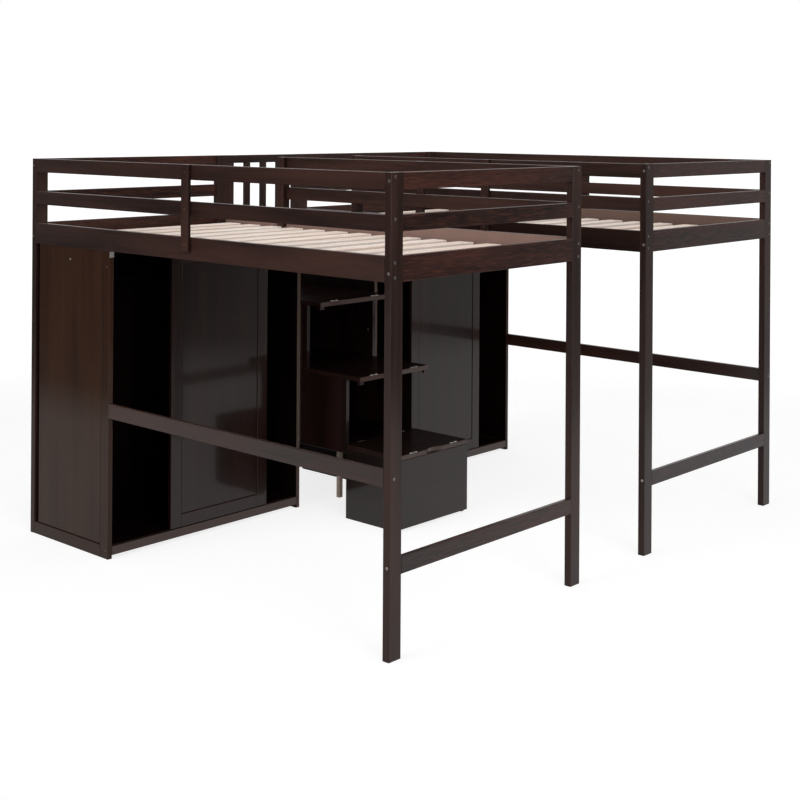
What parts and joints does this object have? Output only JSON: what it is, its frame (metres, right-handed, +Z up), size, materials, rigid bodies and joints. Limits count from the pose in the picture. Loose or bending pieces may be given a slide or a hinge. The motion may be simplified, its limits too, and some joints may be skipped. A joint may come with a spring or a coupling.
{
  "type": "loft bed",
  "caption": "Two raised wooden beds side by side with guard rails, a sliding-door wardrobe under each head end and a box-step stair between them",
  "frame": {"origin": "On the floor, under the middle of the two beds.", "axes": "+X runs across both beds, from the left bed to the right bed seen from the foot end; +Y runs from the foot end to the head end; +Z is up."},
  "size_m": [2.548, 2.0124, 1.54],
  "materials": {
    "espresso_frame": "espresso stain under satin lacquer on solid wood",
    "espresso_panel": "espresso stain under gloss lacquer on boards",
    "espresso_step": "espresso stain under satin lacquer on boards",
    "door_gloss": "espresso stain under gloss lacquer",
    "pine": "raw planed pine",
    "steel": "zinc-plated steel"
  },
  "bodies": {
    "frame": {"guard_struts": "espresso_frame", "head_guard_panel": "espresso_frame", "left_foot_beam": "espresso_frame", "left_foot_guard_rails": "espresso_frame", "left_foot_inner_post": "espresso_frame", "left_foot_lower_rail": "espresso_frame", "left_foot_outer_post": "espresso_frame", "left_head_inner_post": "espresso_frame", "left_head_outer_post": "espresso_frame", "left_head_rails": "espresso_frame", "left_inner_beam": "espresso_frame", "left_inner_guard_rails": "espresso_frame", "left_outer_beam": "espresso_frame", "left_outer_guard_rails": "espresso_frame", "left_outer_lower_rail": "espresso_frame", "left_slats": "pine", "left_wardrobe_back": "espresso_panel", "left_wardrobe_base": "espresso_panel", "left_wardrobe_inner_side": "espresso_panel", "left_wardrobe_outer_side": "espresso_panel", "left_wardrobe_top": "espresso_panel", "post_bolts": "steel", "right_foot_beam": "espresso_frame", "right_foot_guard_rails": "espresso_frame", "right_foot_inner_post": "espresso_frame", "right_foot_lower_rail": "espresso_frame", "right_foot_outer_post": "espresso_frame", "right_head_inner_post": "espresso_frame", "right_head_outer_post": "espresso_frame", "right_head_rails": "espresso_frame", "right_inner_beam": "espresso_frame", "right_inner_guard_rails": "espresso_frame", "right_outer_beam": "espresso_frame", "right_outer_guard_rails": "espresso_frame", "right_outer_lower_rail": "espresso_frame", "right_slats": "pine", "right_wardrobe_back": "espresso_panel", "right_wardrobe_base": "espresso_panel", "right_wardrobe_inner_side": "espresso_panel", "right_wardrobe_outer_side": "espresso_panel", "right_wardrobe_top": "espresso_panel", "slat_ledgers": "pine", "step_corner_blocks": "espresso_step", "step_fittings": "steel", "step_floors_and_backs": "espresso_step", "step_one_front": "espresso_step", "step_one_sides": "espresso_step", "step_spacers_and_leg": "pine", "step_three_sides": "espresso_step", "step_three_tread": "espresso_step", "step_two_sides": "espresso_step", "step_two_tread": "espresso_step", "wardrobe_corner_plates": "steel", "wardrobe_rods": "espresso_panel"},
    "left_door": {"left_wardrobe_door": "door_gloss"},
    "right_door": {"right_wardrobe_door": "door_gloss"},
    "lid": {"step_one_lid": "espresso_step", "lid_fittings": "steel"}
  },
  "joints": [
    {"name": "left_door_slide", "type": "slide", "parent": "frame", "child": "left_door", "axis": [1, 0, 0], "range_m": [-0.286, 0.17]},
    {"name": "right_door_slide", "type": "slide", "parent": "frame", "child": "right_door", "axis": [1, 0, 0], "range_m": [-0.243, 0.213]},
    {"name": "lid_hinge", "type": "hinge", "parent": "frame", "child": "lid", "pos_m": [0, 0.2005, 0.3138], "axis": [-1, 0, 0], "range_deg": [0, 70]}
  ]
}
